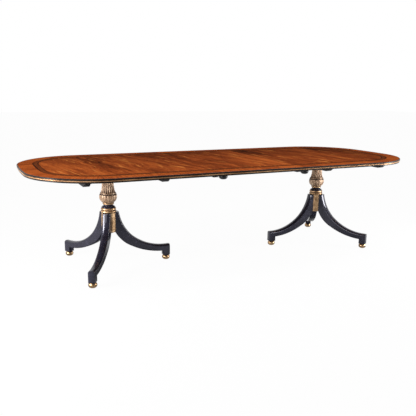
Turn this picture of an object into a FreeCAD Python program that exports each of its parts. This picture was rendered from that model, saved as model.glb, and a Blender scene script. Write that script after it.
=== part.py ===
"""Double pedestal dining table: two pedestal halves with rounded ends and a lift-out leaf between them.

Frame: millimetres, +Z up, floor at z = 0, +X along the length of the top, origin under the middle.
Each half is drawn as the left one. The right one is the same piece turned half round about Z.
"""
import FreeCAD
import Part
import Sketcher
import math
import os

doc = FreeCAD.newDocument("DoublePedestalTable")

# Driving dimensions, in millimetres unless the note says otherwise
DIMENSIONS = [
    ("table_height", 762, "floor to the polished face"),
    ("table_length", 3048, "end to end with the leaf in"),
    ("table_width", 1270, "across the straight sides"),
    ("leaf_width", 660, "leaf, along the length of the table"),
    ("joint_gap", 0.6, "open line between the leaf and each half"),
    ("corner_radius", 480, "rounded corners of the top"),
    ("end_radius", 4000, "slight bow of each end"),
    ("top_thickness", 27, "edge of the top, underside to polished face"),
    ("veneer_thickness", 1.5, "sawn veneers on the core"),
    ("moulding_width", 22, "edge moulding, outer face to core"),
    ("moulding_lip", 6, "strip of the moulding seen from above"),
    ("moulding_step", 4, "lower fascia set back from the outer face"),
    ("bead_height", 10, "half-round bead along the edge"),
    ("bead_stand", 3.6, "bead, proud of the lower fascia"),
    ("bead_base", 7, "underside to the bead"),
    ("moulding_round", 4, "rounded upper arris of the moulding"),
    ("crossband_inset", 105, "outer edge to the inside of the crossband"),
    ("inlay_width", 42, "dark inlaid band inside the crossband"),
    ("pedestal_spacing", 1854, "between the two column axes"),
    ("bearer_spacing", 520, "between the two bearers of one half"),
    ("bearer_width", 38, "bearer, along the table"),
    ("bearer_depth", 42, "bearer, below the underside"),
    ("bearer_nose_depth", 14, "bearer at its tip"),
    ("bearer_nose_length", 80, "ogee nose at each end of a bearer"),
    ("bearer_setback", 95, "edge of the top to the tip of a bearer"),
    ("bearer_nose_radius", 55, "both curves of the ogee nose"),
    ("block_width", 200, "top block, across the table"),
    ("block_counterbore", 18, "recess for the tie rod nut"),
    ("loper_spacing", 420, "between the two lopers, centre to centre"),
    ("loper_width", 60, "loper, across the table"),
    ("loper_depth", 26, "loper, vertical"),
    ("loper_length", 1520, "loper, overall"),
    ("loper_lead", 14, "bevel at the free end of a loper"),
    ("loper_clearance", 0.4, "running clearance round a loper"),
    ("keeper_wall", 12, "wood round a loper in its keeper"),
    ("keeper_length", 60, "loper keeper, along the table"),
    ("keeper_setback", 40, "joint line to the loper keeper"),
    ("pedestal_drawn_height", 693, "pedestal that the heights of its pieces are drawn for"),
    ("hub_radius", 52, "gilt hub between the legs"),
    ("hub_flat", 43.5, "axis to the flat that a leg meets"),
    ("hub_bottom", 267, "floor to the underside of the hub"),
    ("leg_top", 413, "floor to the top of the hub and legs"),
    ("dovetail_root", 18, "width of a leg's dovetail where it leaves the hub"),
    ("dovetail_tip", 24, "width of a leg's dovetail inside the hub"),
    ("dovetail_depth", 20, "reach of a leg's dovetail into the hub"),
    ("dovetail_stop", 14, "hub left whole above the dovetails"),
    ("dovetail_clearance", 0.2, "glue line round a dovetail"),
    ("leg_heel", 264, "floor to the lowest point of a leg at the hub"),
    ("leg_width", 46, "thickness of a leg at the front of its toe"),
    ("leg_root_width", 56, "thickness of a leg at the hub"),
    ("leg_round", 15, "rounded upper edges of a leg"),
    ("sole_round", 4, "eased lower edges of a leg"),
    ("leg_shoulder", 73, "axis to the front of the leg at its top"),
    ("leg_knee_reach", 168, "axis to the upper knee point"),
    ("leg_knee_height", 227, "floor to the upper knee point"),
    ("leg_upper_radius", 332, "curve of the upper face above the knee"),
    ("leg_ankle_reach", 440, "axis to the start of the toe"),
    ("leg_sweep_radius", 399, "curve of the upper face below the knee"),
    ("toe_reach", 469, "axis to the front of the toe"),
    ("toe_top", 122, "floor to the upper face of the toe"),
    ("toe_length", 51, "toe block, front to back"),
    ("toe_drop", 36, "toe block below the sole of the leg"),
    ("sole_radius", 560, "curve under the leg near the toe"),
    ("sole_knee_reach", 160, "axis to the lower knee point"),
    ("sole_knee_height", 145, "floor to the lower knee point"),
    ("sole_upper_radius", 245, "curve under the leg near the hub"),
    ("foot_height", 38, "ball foot, floor to toe block"),
    ("foot_radius", 30, "ball foot at its widest"),
    ("foot_sole_radius", 15, "flat the ball foot stands on"),
    ("foot_neck_radius", 17, "ball foot where it meets the toe"),
    ("foot_shank_radius", 5, "stem of the ball foot"),
    ("foot_shank_length", 24, "stem, up into the toe"),
    ("foot_shank_clearance", 0.15, "round the stem"),
    ("collar_lower_height", 16, "lower ring of the collar above the hub"),
    ("collar_groove_height", 3, "groove between the rings"),
    ("collar_upper_height", 16, "upper ring of the collar"),
    ("collar_lower_radius", 57, "lower ring of the collar"),
    ("collar_upper_radius", 55, "upper ring of the collar"),
    ("collar_groove_radius", 50.5, "collar in its groove"),
    ("neck_height", 24, "black neck above the collar"),
    ("neck_foot_radius", 50, "neck at its foot"),
    ("neck_waist_radius", 35, "neck at its waist"),
    ("neck_foot_height", 3, "upright foot of the neck"),
    ("neck_waist_height", 5, "top of the neck above its waist"),
    ("neck_curve", 12, "both curves of the neck"),
    ("ring_height", 12, "gilt ring under the urn"),
    ("ring_radius", 41.5, "gilt ring at its widest"),
    ("ring_seat_radius", 37.5, "gilt ring at its faces"),
    ("bowl_height", 67.5, "carved bowl of the urn"),
    ("bowl_foot_radius", 42, "bowl at its foot"),
    ("bowl_foot_height", 3, "upright foot of the bowl"),
    ("bowl_belly_radius", 63, "bowl at its widest"),
    ("bowl_belly_height", 39, "bowl foot to its widest"),
    ("bowl_lower_curve", 42, "curve of the bowl below its widest"),
    ("bowl_shoulder_radius", 61, "bowl at its shoulder"),
    ("bowl_shoulder_curve", 150, "curve of the bowl above its widest"),
    ("bowl_groove_radius", 56, "bowl in the groove under the neck"),
    ("bowl_groove_height", 5, "groove under the neck"),
    ("throat_lip_radius", 58, "lip of the fluted neck"),
    ("throat_lip_height", 6, "lip of the fluted neck"),
    ("throat_foot_radius", 52.5, "fluted neck of the urn above its lip"),
    ("throat_radius", 42.5, "fluted neck of the urn at its narrowest"),
    ("throat_height", 62, "lip to the narrowest part of the fluted neck"),
    ("throat_curve", 230, "hollow curve of the fluted neck"),
    ("capital_height", 50, "spreading capital under the top block"),
    ("capital_slab", 10, "flat rim of the capital"),
    ("capital_radius", 58, "capital at its upper face"),
    ("capital_curve", 44, "hollow curve of the capital"),
    ("flute_radius", 5, "hollow of a flute"),
    ("flute_depth", 3, "flute, into the neck of the urn"),
    ("lobe_groove_radius", 3, "hollow between two lobes of the bowl"),
    ("lobe_groove_depth", 2, "hollow, into the bowl"),
    ("lobe_margin", 4, "hollow, clear of the foot of the bowl"),
    ("rod_radius", 6, "steel tie rod through the column"),
    ("rod_clearance", 0.5, "round the tie rod"),
    ("nut_across", 22, "tie rod nut and head, across corners"),
    ("nut_height", 9, "tie rod nut and head"),
    ("nut_room", 2, "recess round the nut"),
    ("nut_clearance", 0.1, "between the nut and the rod"),
    ("rod_end", 4, "rod showing past its nut"),
    ("plate_radius", 42, "iron plate under the hub"),
    ("plate_thickness", 4, "iron plate under the hub"),
    ("lock_setback", 34, "joint line to the axis of a leaf lock"),
    ("lock_inset", 50, "edge of the top to the axis of a lock"),
    ("lock_knob_radius", 30, "turning knob of a lock"),
    ("lock_knob_height", 22, "turning knob below its bar"),
    ("lock_knob_tip", 11, "flat under the knob"),
    ("lock_knob_side", 6, "upright side of the knob"),
    ("lock_knob_curve", 21, "domed curve of the knob"),
    ("lock_bar_width", 24, "bar of a lock"),
    ("lock_bar_thickness", 7, "bar of a lock"),
    ("lock_bar_reach", 66, "lock axis to the tip of the bar"),
    ("lock_clearance", 0.4, "over and under the bar"),
    ("catch_width", 36, "catch plate, across the table"),
    ("catch_plate", 3, "metal of the catch"),
    ("catch_setback", 9, "joint line to the lip of the catch"),
    ("catch_length", 38, "catch plate, along the table"),
    ("catch_foot", 14, "foot of the catch against the underside"),
]

SHEET = "Sizes"
sheet = doc.addObject("Spreadsheet::Sheet", SHEET)
for row, (alias, value, note) in enumerate(DIMENSIONS, start=1):
    sheet.set(f"A{row}", alias)
    sheet.set(f"B{row}", str(value))
    sheet.setAlias(f"B{row}", alias)
    sheet.set(f"C{row}", note)
doc.recompute()


class Size:
    """A length with the formula that binds it to the sheet."""

    def __init__(self, value, text):
        self.value = value
        self.text = text

    def __add__(self, other):
        other = as_size(other)
        return Size(self.value + other.value, f"({self.text} + {other.text})")

    def __sub__(self, other):
        other = as_size(other)
        return Size(self.value - other.value, f"({self.text} - {other.text})")

    def __mul__(self, other):
        other = as_size(other)
        return Size(self.value * other.value, f"({self.text} * {other.text})")

    def __truediv__(self, other):
        other = as_size(other)
        return Size(self.value / other.value, f"({self.text} / {other.text})")

    def __neg__(self):
        return Size(-self.value, f"(0 - {self.text})")


def as_size(number):
    return number if isinstance(number, Size) else Size(number, str(number))


def root(square):
    return Size(math.sqrt(square.value), f"sqrt({square.text})")


def size(alias):
    return Size(float(sheet.get(alias)), f"{SHEET}.{alias}")


def bind(item, prop, length):
    item.setExpression(prop, as_size(length).text)


HALF_TURN_ANGLE = 180
FULL_TURN_ANGLE = 360
TRIG_DIGITS = 9
EDGE_TOLERANCE = 0.01

# Outlines are lists of corners. A corner is (x, y), or (x, y, radius, turn) when the stretch that
# ends there is an arc: turn +1 runs anticlockwise and -1 clockwise.
ZERO = as_size(0)


def bulge(swell, chord_x, chord_y):
    """Radius of the arc that stands out by a swell between two ends."""
    chord_squared = chord_x * chord_x + chord_y * chord_y
    return (chord_squared / 4 + swell * swell) / (swell * 2)


def arc_through(start, end, radius, turn):
    """Arc of the given radius between two points, bending the way that turn says."""
    chord = end - start
    middle = (start + end) / 2
    setback = math.sqrt(radius ** 2 - (chord.Length / 2) ** 2)
    across = FreeCAD.Vector(-chord.y, chord.x, 0).normalize()
    centre = middle + across * (setback * turn)
    first, last = (start, end) if turn > 0 else (end, start)
    begin = math.atan2(first.y - centre.y, first.x - centre.x)
    finish = math.atan2(last.y - centre.y, last.x - centre.x)
    circle = Part.Circle(centre, FreeCAD.Vector(0, 0, 1), radius)
    return Part.ArcOfCircle(circle, begin, finish)


def pin_point(sketch, edge, end, x, y):
    """Hold one point of an edge at a bound place."""
    for kind, length, axis in (("DistanceX", x, -2), ("DistanceY", y, -1)):
        if length.text == ZERO.text:
            sketch.addConstraint(Sketcher.Constraint("PointOnObject", edge, end, axis))
            continue
        index = sketch.addConstraint(Sketcher.Constraint(kind, -1, 1, edge, end, length.value))
        bind(sketch, f"Constraints[{index}]", length)


def new_sketch(body, plane, name, lift=None):
    """Empty sketch on one of the body's own planes, lifted along its normal when asked."""
    sketch = body.newObject("Sketcher::SketchObject", name)
    support = [item for item in body.Origin.OriginFeatures if item.Role == plane][0]
    sketch.AttachmentSupport = (support, [""])
    sketch.MapMode = "FlatFace"
    if lift is not None:
        bind(sketch, "AttachmentOffset.Base.z", lift)
    return sketch


def draw(body, plane, corners, name, lift=None, closed=True):
    """Sketch of lines and arcs through bound corners."""
    sketch = new_sketch(body, plane, name, lift)
    count = len(corners) if closed else len(corners) - 1
    ends = []
    for number in range(count):
        here = corners[number]
        there = corners[(number + 1) % len(corners)]
        start = FreeCAD.Vector(here[0].value, here[1].value, 0)
        end = FreeCAD.Vector(there[0].value, there[1].value, 0)
        if len(there) == 2:
            sketch.addGeometry(Part.LineSegment(start, end), False)
            ends.append((1, 2))
        else:
            sketch.addGeometry(arc_through(start, end, there[2].value, there[3]), False)
            ends.append((1, 2) if there[3] > 0 else (2, 1))
    for number in range(count):
        there = corners[(number + 1) % len(corners)]
        pin_point(sketch, number, ends[number][0], corners[number][0], corners[number][1])
        if closed or number + 1 < count:
            following = (number + 1) % count
            join = ("Coincident", number, ends[number][1], following, ends[following][0])
            sketch.addConstraint(Sketcher.Constraint(*join))
        else:
            pin_point(sketch, number, ends[number][1], there[0], there[1])
        if len(there) == 4:
            index = sketch.addConstraint(Sketcher.Constraint("Radius", number, there[2].value))
            bind(sketch, f"Constraints[{index}]", there[2])
    return sketch


def disc(body, plane, radius, name, x=ZERO, lift=None):
    """Sketch of one circle, centred at x along the sketch's first axis."""
    sketch = new_sketch(body, plane, name, lift)
    circle = Part.Circle(FreeCAD.Vector(x.value, 0, 0), FreeCAD.Vector(0, 0, 1), radius.value)
    sketch.addGeometry(circle, False)
    pin_point(sketch, 0, 3, x, ZERO)
    index = sketch.addConstraint(Sketcher.Constraint("Radius", 0, radius.value))
    bind(sketch, f"Constraints[{index}]", radius)
    return sketch


def place(item, turn=0, x=ZERO, y=ZERO, z=ZERO):
    """Turn a piece about Z and set it out from the origin."""
    axis = FreeCAD.Vector(0, 0, 1)
    item.Placement = FreeCAD.Placement(FreeCAD.Vector(0, 0, 0), FreeCAD.Rotation(axis, turn))
    for name, length in (("x", x), ("y", y), ("z", z)):
        if length.text != ZERO.text:
            bind(item, f"Placement.Base.{name}", length)
    return item


def new_body(label, turn=0, x=ZERO, y=ZERO):
    body = doc.addObject("PartDesign::Body", label)
    body.Label = label
    return place(body, turn, x, y)


def pad(body, sketch, length, name, symmetric=False):
    feature = body.newObject("PartDesign::Pad", name)
    feature.Profile = sketch
    if symmetric:
        feature.SideType = "Symmetric"
    bind(feature, "Length", length)
    return feature


def pocket(body, sketch, length, name):
    """Cut from the sketch upwards."""
    feature = body.newObject("PartDesign::Pocket", name)
    feature.Profile = sketch
    feature.Reversed = True
    bind(feature, "Length", length)
    return feature


def revolve(body, corners, name):
    """Turn a profile about the body's upright axis: corners are radius and height."""
    sketch = draw(body, "XZ_Plane", corners, f"{name}_profile")
    feature = body.newObject("PartDesign::Revolution", f"{name}_turning")
    feature.Profile = sketch
    feature.ReferenceAxis = (sketch, ["V_Axis"])
    feature.Angle = FULL_TURN_ANGLE
    return feature


def turned(label, corners, turn=0, x=ZERO, y=ZERO):
    """Piece turned on a lathe: corners are radius and height."""
    body = new_body(label, turn, x, y)
    revolve(body, corners, label)
    return body


def repeat_round(body, features, count, name):
    """Repeat features evenly round the body's upright axis."""
    doc.recompute()
    pattern = body.newObject("PartDesign::PolarPattern", name)
    pattern.Originals = features
    pattern.Axis = ([item for item in body.Origin.OriginFeatures if item.Role == "Z_Axis"][0], [""])
    pattern.Angle = FULL_TURN_ANGLE
    pattern.Occurrences = count
    body.Tip = pattern


def carve_round(body, path, radius, count, name):
    """Cut a round hollow along a path of radius and height, and repeat it round a turning."""
    spine = draw(body, "XZ_Plane", path, f"{name}_path", closed=False)
    start_x, start_z = path[0]
    cut = body.newObject("PartDesign::SubtractivePipe", f"{name}_hollow")
    cut.Profile = disc(body, "XY_Plane", radius, f"{name}_section", start_x, start_z)
    cut.Spine = (spine, [f"Edge{number}" for number in range(1, len(path))])
    repeat_round(body, [cut], count, f"{name}_hollows")


def slab(label, corners, bottom_z, height, turn=0):
    """Board of even thickness: corners are its outline in plan."""
    body = new_body(label, turn)
    pad(body, draw(body, "XY_Plane", corners, f"{label}_outline", bottom_z), height, f"{label}_board")
    return body


def bar(label, plane, corners, length, turn=0, x=ZERO, y=ZERO):
    """Straight piece of one section, centred on the plane it is drawn in."""
    body = new_body(label, turn, x, y)
    pad(body, draw(body, plane, corners, f"{label}_section"), length, f"{label}_run", symmetric=True)
    return body


def rectangle(half_x, low_y, high_y):
    return [(-half_x, low_y), (half_x, low_y), (half_x, high_y), (-half_x, high_y)]


def group(label, members):
    """Like pieces that share one node as separate solids."""
    item = doc.addObject("Part::Compound", label)
    item.Label = label
    item.Links = members
    return item


pieces = []
LEG_COUNT = 3
LEG_NAMES = {"left": ("inner", "back", "front"), "right": ("inner", "front", "back")}
FLUTE_COUNT = 20
LOBE_COUNT = 16
SIDES = (("left", 0, -1), ("right", HALF_TURN_ANGLE, 1))
FRONT_AND_BACK = (("front", 0, -1), ("back", HALF_TURN_ANGLE, 1))

# Values that several pieces share
half_length = size("table_length") / 2
half_width = size("table_width") / 2
joint_x = size("leaf_width") / 2
end_edge_x = joint_x + size("joint_gap") / 2
leaf_edge_x = joint_x - size("joint_gap") / 2
top_z = size("table_height")
underside_z = top_z - size("top_thickness")
veneer = size("veneer_thickness")
veneer_z = top_z - veneer
core_height = size("top_thickness") - veneer
core_y = half_width - size("moulding_width")
field_inset = size("crossband_inset") + size("inlay_width")
bearer_bottom_z = underside_z - size("bearer_depth")
loper_top_z = underside_z - size("loper_clearance")
loper_bottom_z = loper_top_z - size("loper_depth")
channel_half = size("loper_width") / 2 + size("loper_clearance")
channel_z = loper_bottom_z - size("loper_clearance")
loper_y = size("loper_spacing") / 2
pedestal_x = size("pedestal_spacing") / 2
bore = size("rod_radius") + size("rod_clearance")
pedestal_stretch = bearer_bottom_z / size("pedestal_drawn_height")
foot_x = size("toe_reach") - size("toe_length") / 2
foot_top_z = size("foot_height")
lock_y = half_width - size("lock_inset")
bar_top_z = underside_z - size("lock_clearance")
bar_bottom_z = bar_top_z - size("lock_bar_thickness")


def rise(alias):
    """A height in the pedestal, drawn out or in to suit the height of the table."""
    return size(alias) * pedestal_stretch


hub_bottom_z = rise("hub_bottom")
leg_top_z = rise("leg_top")
hub_height = leg_top_z - hub_bottom_z
lower_ring_z = leg_top_z + rise("collar_lower_height")
upper_ring_z = lower_ring_z + rise("collar_groove_height")
collar_top_z = upper_ring_z + rise("collar_upper_height")
neck_top_z = collar_top_z + rise("neck_height")
ring_top_z = neck_top_z + rise("ring_height")
bowl_top_z = ring_top_z + rise("bowl_height")


def end_run(inset):
    """Outline of the left end at an inset, from the front joint corner round to the back one."""
    corner = size("corner_radius") - inset
    end = size("end_radius") - inset
    side_y = half_width - inset
    centre_y = half_width - size("corner_radius")
    spread = size("end_radius") - size("corner_radius")
    reach = root(spread * spread - centre_y * centre_y)
    centre_x = half_length - size("end_radius") + reach
    meet_x = centre_x + corner * reach / spread
    meet_y = centre_y + corner * centre_y / spread
    return [
        (-end_edge_x, -side_y),
        (-centre_x, -side_y),
        (-meet_x, -meet_y, corner, -1),
        (-meet_x, meet_y, end, -1),
        (-centre_x, side_y, corner, -1),
        (-end_edge_x, side_y),
    ]


def walk_back(run):
    """The same run of lines and arcs, walked the other way."""
    back = [run[-1][:2]]
    for here, before in zip(run[:0:-1], run[-2::-1]):
        bend = (here[2], -here[3]) if len(here) == 4 else ()
        back.append(before[:2] + bend)
    return back


def moulding_section():
    """Section of the front edge moulding: y and height, from the core outwards."""
    face_y = -half_width
    fascia_y = face_y + size("moulding_step")
    lip_y = face_y + size("moulding_lip")
    bead_bottom_z = underside_z + size("bead_base")
    bead_top_z = bead_bottom_z + size("bead_height")
    bead_radius = bulge(size("bead_stand"), size("bead_height"), ZERO)
    arris = size("moulding_round")
    return [
        (-core_y, underside_z),
        (fascia_y, underside_z),
        (fascia_y, bead_bottom_z),
        (fascia_y, bead_top_z, bead_radius, -1),
        (face_y, bead_top_z),
        (face_y, top_z - arris),
        (face_y + arris, top_z, arris, -1),
        (lip_y, top_z),
        (lip_y, veneer_z),
        (-core_y, veneer_z),
    ]


def end_moulding(label, turn):
    """Edge moulding of a rounded end, swept round the core."""
    body = new_body(label, turn)
    path = end_run(size("moulding_width"))
    spine = draw(body, "XY_Plane", path, f"{label}_path", closed=False)
    profile = draw(body, "YZ_Plane", moulding_section(), f"{label}_section", -end_edge_x)
    sweep = body.newObject("PartDesign::AdditivePipe", f"{label}_sweep")
    sweep.Profile = profile
    sweep.Spine = (spine, [f"Edge{number}" for number in range(1, len(path))])
    return body


def end_band(label, outer_inset, inner_inset, turn):
    """Strip of veneer between two insets of a rounded end."""
    corners = end_run(outer_inset) + walk_back(end_run(inner_inset))
    return slab(label, corners, veneer_z, veneer, turn)


def end_top(side, turn):
    core_run = end_run(size("moulding_width"))
    crossband = size("crossband_inset")
    return [
        slab(f"{side}_top_core", core_run, underside_z, core_height, turn),
        slab(f"{side}_field_veneer", end_run(field_inset), veneer_z, veneer, turn),
        end_band(f"{side}_inlay_band", crossband, field_inset, turn),
        end_band(f"{side}_crossband", size("moulding_lip"), crossband, turn),
        end_moulding(f"{side}_edge_moulding", turn),
    ]


def leaf_strips(label, outer_inset, inner_inset):
    """The front and back strips of veneer on the leaf."""
    corners = rectangle(leaf_edge_x, outer_inset - half_width, inner_inset - half_width)
    strips = [slab(f"{label}_{name}", corners, veneer_z, veneer, turn) for name, turn, _ in FRONT_AND_BACK]
    return group(label, strips)


def leaf_top():
    core = rectangle(leaf_edge_x, -core_y, core_y)
    field_y = half_width - field_inset
    field = rectangle(leaf_edge_x, -field_y, field_y)
    mouldings = [
        bar(f"leaf_edge_{name}", "YZ_Plane", moulding_section(), leaf_edge_x * 2, turn)
        for name, turn, sign in FRONT_AND_BACK
    ]
    return [
        slab("leaf_core", core, underside_z, core_height),
        slab("leaf_field_veneer", field, veneer_z, veneer),
        leaf_strips("leaf_inlay_bands", size("crossband_inset"), field_inset),
        leaf_strips("leaf_crossbands", size("moulding_lip"), size("crossband_inset")),
        group("leaf_edge_mouldings", mouldings),
    ]


def bearer_section():
    """Side of a bearer, with ogee noses and the two channels that the lopers pass through."""
    nose_y = half_width - size("bearer_setback")
    straight_y = nose_y - size("bearer_nose_length")
    middle_y = (nose_y + straight_y) / 2
    nose_z = underside_z - size("bearer_nose_depth")
    middle_z = (nose_z + bearer_bottom_z) / 2
    radius = size("bearer_nose_radius")
    outer_y = loper_y + channel_half
    inner_y = loper_y - channel_half
    return [
        (-straight_y, bearer_bottom_z, radius, 1),
        (straight_y, bearer_bottom_z),
        (middle_y, middle_z, radius, 1),
        (nose_y, nose_z, radius, -1),
        (nose_y, underside_z),
        (outer_y, underside_z),
        (outer_y, channel_z),
        (inner_y, channel_z),
        (inner_y, underside_z),
        (-inner_y, underside_z),
        (-inner_y, channel_z),
        (-outer_y, channel_z),
        (-outer_y, underside_z),
        (-nose_y, underside_z),
        (-nose_y, nose_z),
        (-middle_y, middle_z, radius, -1),
    ]


def top_block(label, turn, x):
    """Block between the bearers that takes the head of the column and the tie rod nut."""
    body = new_body(label, turn, x)
    half_x = (size("bearer_spacing") - size("bearer_width")) / 2
    corners = rectangle(half_x, -size("block_width") / 2, size("block_width") / 2)
    depth = size("bearer_depth")
    pad(body, draw(body, "XY_Plane", corners, f"{label}_outline", bearer_bottom_z), depth, f"{label}_board")
    hole = disc(body, "XY_Plane", bore, f"{label}_bore", lift=bearer_bottom_z)
    pocket(body, hole, depth, f"{label}_hole")
    recess_z = underside_z - size("block_counterbore")
    recess_radius = size("nut_across") / 2 + size("nut_room")
    recess = disc(body, "XY_Plane", recess_radius, f"{label}_recess", lift=recess_z)
    pocket(body, recess, size("block_counterbore"), f"{label}_counterbore")
    return body


def under_frame(side, turn, sign):
    reach = size("bearer_spacing") / 2
    section = bearer_section()
    width = size("bearer_width")
    return [
        bar(f"{side}_bearer_inner", "YZ_Plane", section, width, turn, (pedestal_x - reach) * sign),
        bar(f"{side}_bearer_outer", "YZ_Plane", section, width, turn, (pedestal_x + reach) * sign),
        top_block(f"{side}_top_block", turn, pedestal_x * sign),
    ]


def dovetail(clearance):
    """Plan of a leg's dovetail, let out by a clearance."""
    root_half = size("dovetail_root") / 2 + clearance
    tip_half = size("dovetail_tip") / 2 + clearance
    tip_x = size("hub_flat") - size("dovetail_depth") - clearance
    flat_x = size("hub_flat")
    return [(flat_x, -root_half), (flat_x, root_half), (tip_x, tip_half), (tip_x, -tip_half)]


def hub(label, turn, x):
    """Drum with a flat and a stopped dovetail socket for each leg."""
    radius = size("hub_radius")
    drum = [(bore, hub_bottom_z), (radius, hub_bottom_z), (radius, leg_top_z), (bore, leg_top_z)]
    body = turned(label, drum, turn, x)
    flat_x = size("hub_flat")
    outside = [(flat_x, -radius), (radius, -radius), (radius, radius), (flat_x, radius)]
    flat = draw(body, "XY_Plane", outside, f"{label}_flat", hub_bottom_z)
    flats = pocket(body, flat, hub_height, f"{label}_face")
    socket = draw(body, "XY_Plane", dovetail(size("dovetail_clearance")), f"{label}_socket", hub_bottom_z)
    sockets = pocket(body, socket, hub_height - size("dovetail_stop"), f"{label}_slot")
    repeat_round(body, [flats, sockets], LEG_COUNT, f"{label}_legs")
    return body


def leg_side():
    """Side of a sabre leg: distance from the column axis, and height."""
    toe_back_x = size("toe_reach") - size("toe_length")
    sole_z = foot_top_z + size("toe_drop")
    return [
        (size("hub_flat"), leg_top_z),
        (size("hub_flat"), rise("leg_heel")),
        (size("sole_knee_reach"), rise("sole_knee_height"), size("sole_upper_radius"), 1),
        (toe_back_x, sole_z, size("sole_radius"), 1),
        (toe_back_x, foot_top_z),
        (size("toe_reach"), foot_top_z),
        (size("toe_reach"), size("toe_top")),
        (size("leg_ankle_reach"), size("toe_top")),
        (size("leg_knee_reach"), rise("leg_knee_height"), size("leg_sweep_radius"), -1),
        (size("leg_shoulder"), leg_top_z, size("leg_upper_radius"), -1),
    ]


def taper_leg(body, label):
    """Plane both sides of a leg so that it narrows from the hub to the toe."""
    root_half = size("leg_root_width") / 2
    toe_half = size("leg_width") / 2
    height = leg_top_z - foot_top_z
    for name, hand in (("right", -1), ("left", 1)):
        shaving = [
            (size("hub_flat"), root_half * hand),
            (size("toe_reach"), toe_half * hand),
            (size("toe_reach"), root_half * hand),
        ]
        plan = draw(body, "XY_Plane", shaving, f"{label}_{name}_shaving", foot_top_z)
        feature = pocket(body, plan, height, f"{label}_{name}_taper")
    return feature


def round_edges(body, base, heights, radius, name):
    """Fillet the curved long edges of a leg whose upper ends lie at the given heights."""
    doc.recompute()
    edges = []
    for number, edge in enumerate(base.Shape.Edges, start=1):
        highest = max(corner.Z for corner in edge.Vertexes)
        near = any(abs(highest - height.value) < EDGE_TOLERANCE for height in heights)
        if near and isinstance(edge.Curve, Part.Ellipse):
            edges.append(f"Edge{number}")
    feature = body.newObject("PartDesign::Fillet", name)
    feature.Base = (base, edges)
    bind(feature, "Radius", size(radius))
    return feature


def leg(label, turn, x):
    """Sabre leg with rounded long edges, a dovetail for the hub and a socket for its foot."""
    body = new_body(label, turn, x)
    side = draw(body, "XZ_Plane", leg_side(), f"{label}_side")
    pad(body, side, size("leg_root_width"), f"{label}_blank", symmetric=True)
    tapered = taper_leg(body, label)
    upper_heights = (leg_top_z, rise("leg_knee_height"))
    rounded = round_edges(body, tapered, upper_heights, "leg_round", f"{label}_rounding")
    sole_heights = (rise("leg_heel"), rise("sole_knee_height"))
    round_edges(body, rounded, sole_heights, "sole_round", f"{label}_easing")
    tongue = draw(body, "XY_Plane", dovetail(ZERO), f"{label}_dovetail", hub_bottom_z)
    tongue_height = hub_height - size("dovetail_stop") - size("dovetail_clearance")
    pad(body, tongue, tongue_height, f"{label}_tongue")
    hole_radius = size("foot_shank_radius") + size("foot_shank_clearance")
    hole = disc(body, "XY_Plane", hole_radius, f"{label}_foot_hole", foot_x, foot_top_z)
    pocket(body, hole, size("foot_shank_length") + size("foot_shank_clearance"), f"{label}_foot_socket")
    return body


def ball_foot(label, x, y):
    """Flattened ball with a stem that goes up into the toe."""
    sole = size("foot_sole_radius")
    neck = size("foot_neck_radius")
    stem = size("foot_shank_radius")
    stem_top_z = foot_top_z + size("foot_shank_length")
    swell = size("foot_radius") - (sole + neck) / 2
    ball = bulge(swell, neck - sole, foot_top_z)
    corners = [
        (ZERO, ZERO),
        (sole, ZERO),
        (neck, foot_top_z, ball, 1),
        (stem, foot_top_z),
        (stem, stem_top_z),
        (ZERO, stem_top_z),
    ]
    return turned(label, corners, 0, x, y)


def tripod(side, turn, sign):
    x = pedestal_x * sign
    legs = []
    feet = []
    for number, name in enumerate(LEG_NAMES[side]):
        heading = turn + number * FULL_TURN_ANGLE / LEG_COUNT
        out_x = round(math.cos(math.radians(heading)), TRIG_DIGITS)
        out_y = round(math.sin(math.radians(heading)), TRIG_DIGITS)
        legs.append(leg(f"{side}_leg_{name}", heading, x))
        feet.append(ball_foot(f"{side}_foot_{name}", x + foot_x * out_x, foot_x * out_y))
    plate_z = hub_bottom_z - size("plate_thickness")
    plate_radius = size("plate_radius")
    plate = [(bore, plate_z), (plate_radius, plate_z), (plate_radius, hub_bottom_z), (bore, hub_bottom_z)]
    return [
        hub(f"{side}_hub", turn, x),
        *legs,
        group(f"{side}_ball_feet", feet),
        turned(f"{side}_hub_plate", plate, turn, x),
    ]


def collar_profile():
    groove = size("collar_groove_radius")
    lower = bulge(size("collar_lower_radius") - groove, ZERO, rise("collar_lower_height"))
    upper = bulge(size("collar_upper_radius") - groove, ZERO, rise("collar_upper_height"))
    return [
        (bore, leg_top_z),
        (groove, leg_top_z),
        (groove, lower_ring_z, lower, 1),
        (groove, upper_ring_z),
        (groove, collar_top_z, upper, 1),
        (bore, collar_top_z),
    ]


def neck_profile():
    foot = size("neck_foot_radius")
    waist = size("neck_waist_radius")
    foot_z = collar_top_z + rise("neck_foot_height")
    waist_z = neck_top_z - rise("neck_waist_height")
    middle = (foot + waist) / 2
    middle_z = (foot_z + waist_z) / 2
    curve = size("neck_curve")
    return [
        (bore, collar_top_z),
        (foot, collar_top_z),
        (foot, foot_z),
        (middle, middle_z, curve, 1),
        (waist, waist_z, curve, -1),
        (size("ring_seat_radius"), neck_top_z),
        (bore, neck_top_z),
    ]


def ring_profile():
    seat = size("ring_seat_radius")
    swell = bulge(size("ring_radius") - seat, ZERO, rise("ring_height"))
    return [(bore, neck_top_z), (seat, neck_top_z), (seat, ring_top_z, swell, 1), (bore, ring_top_z)]


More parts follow.
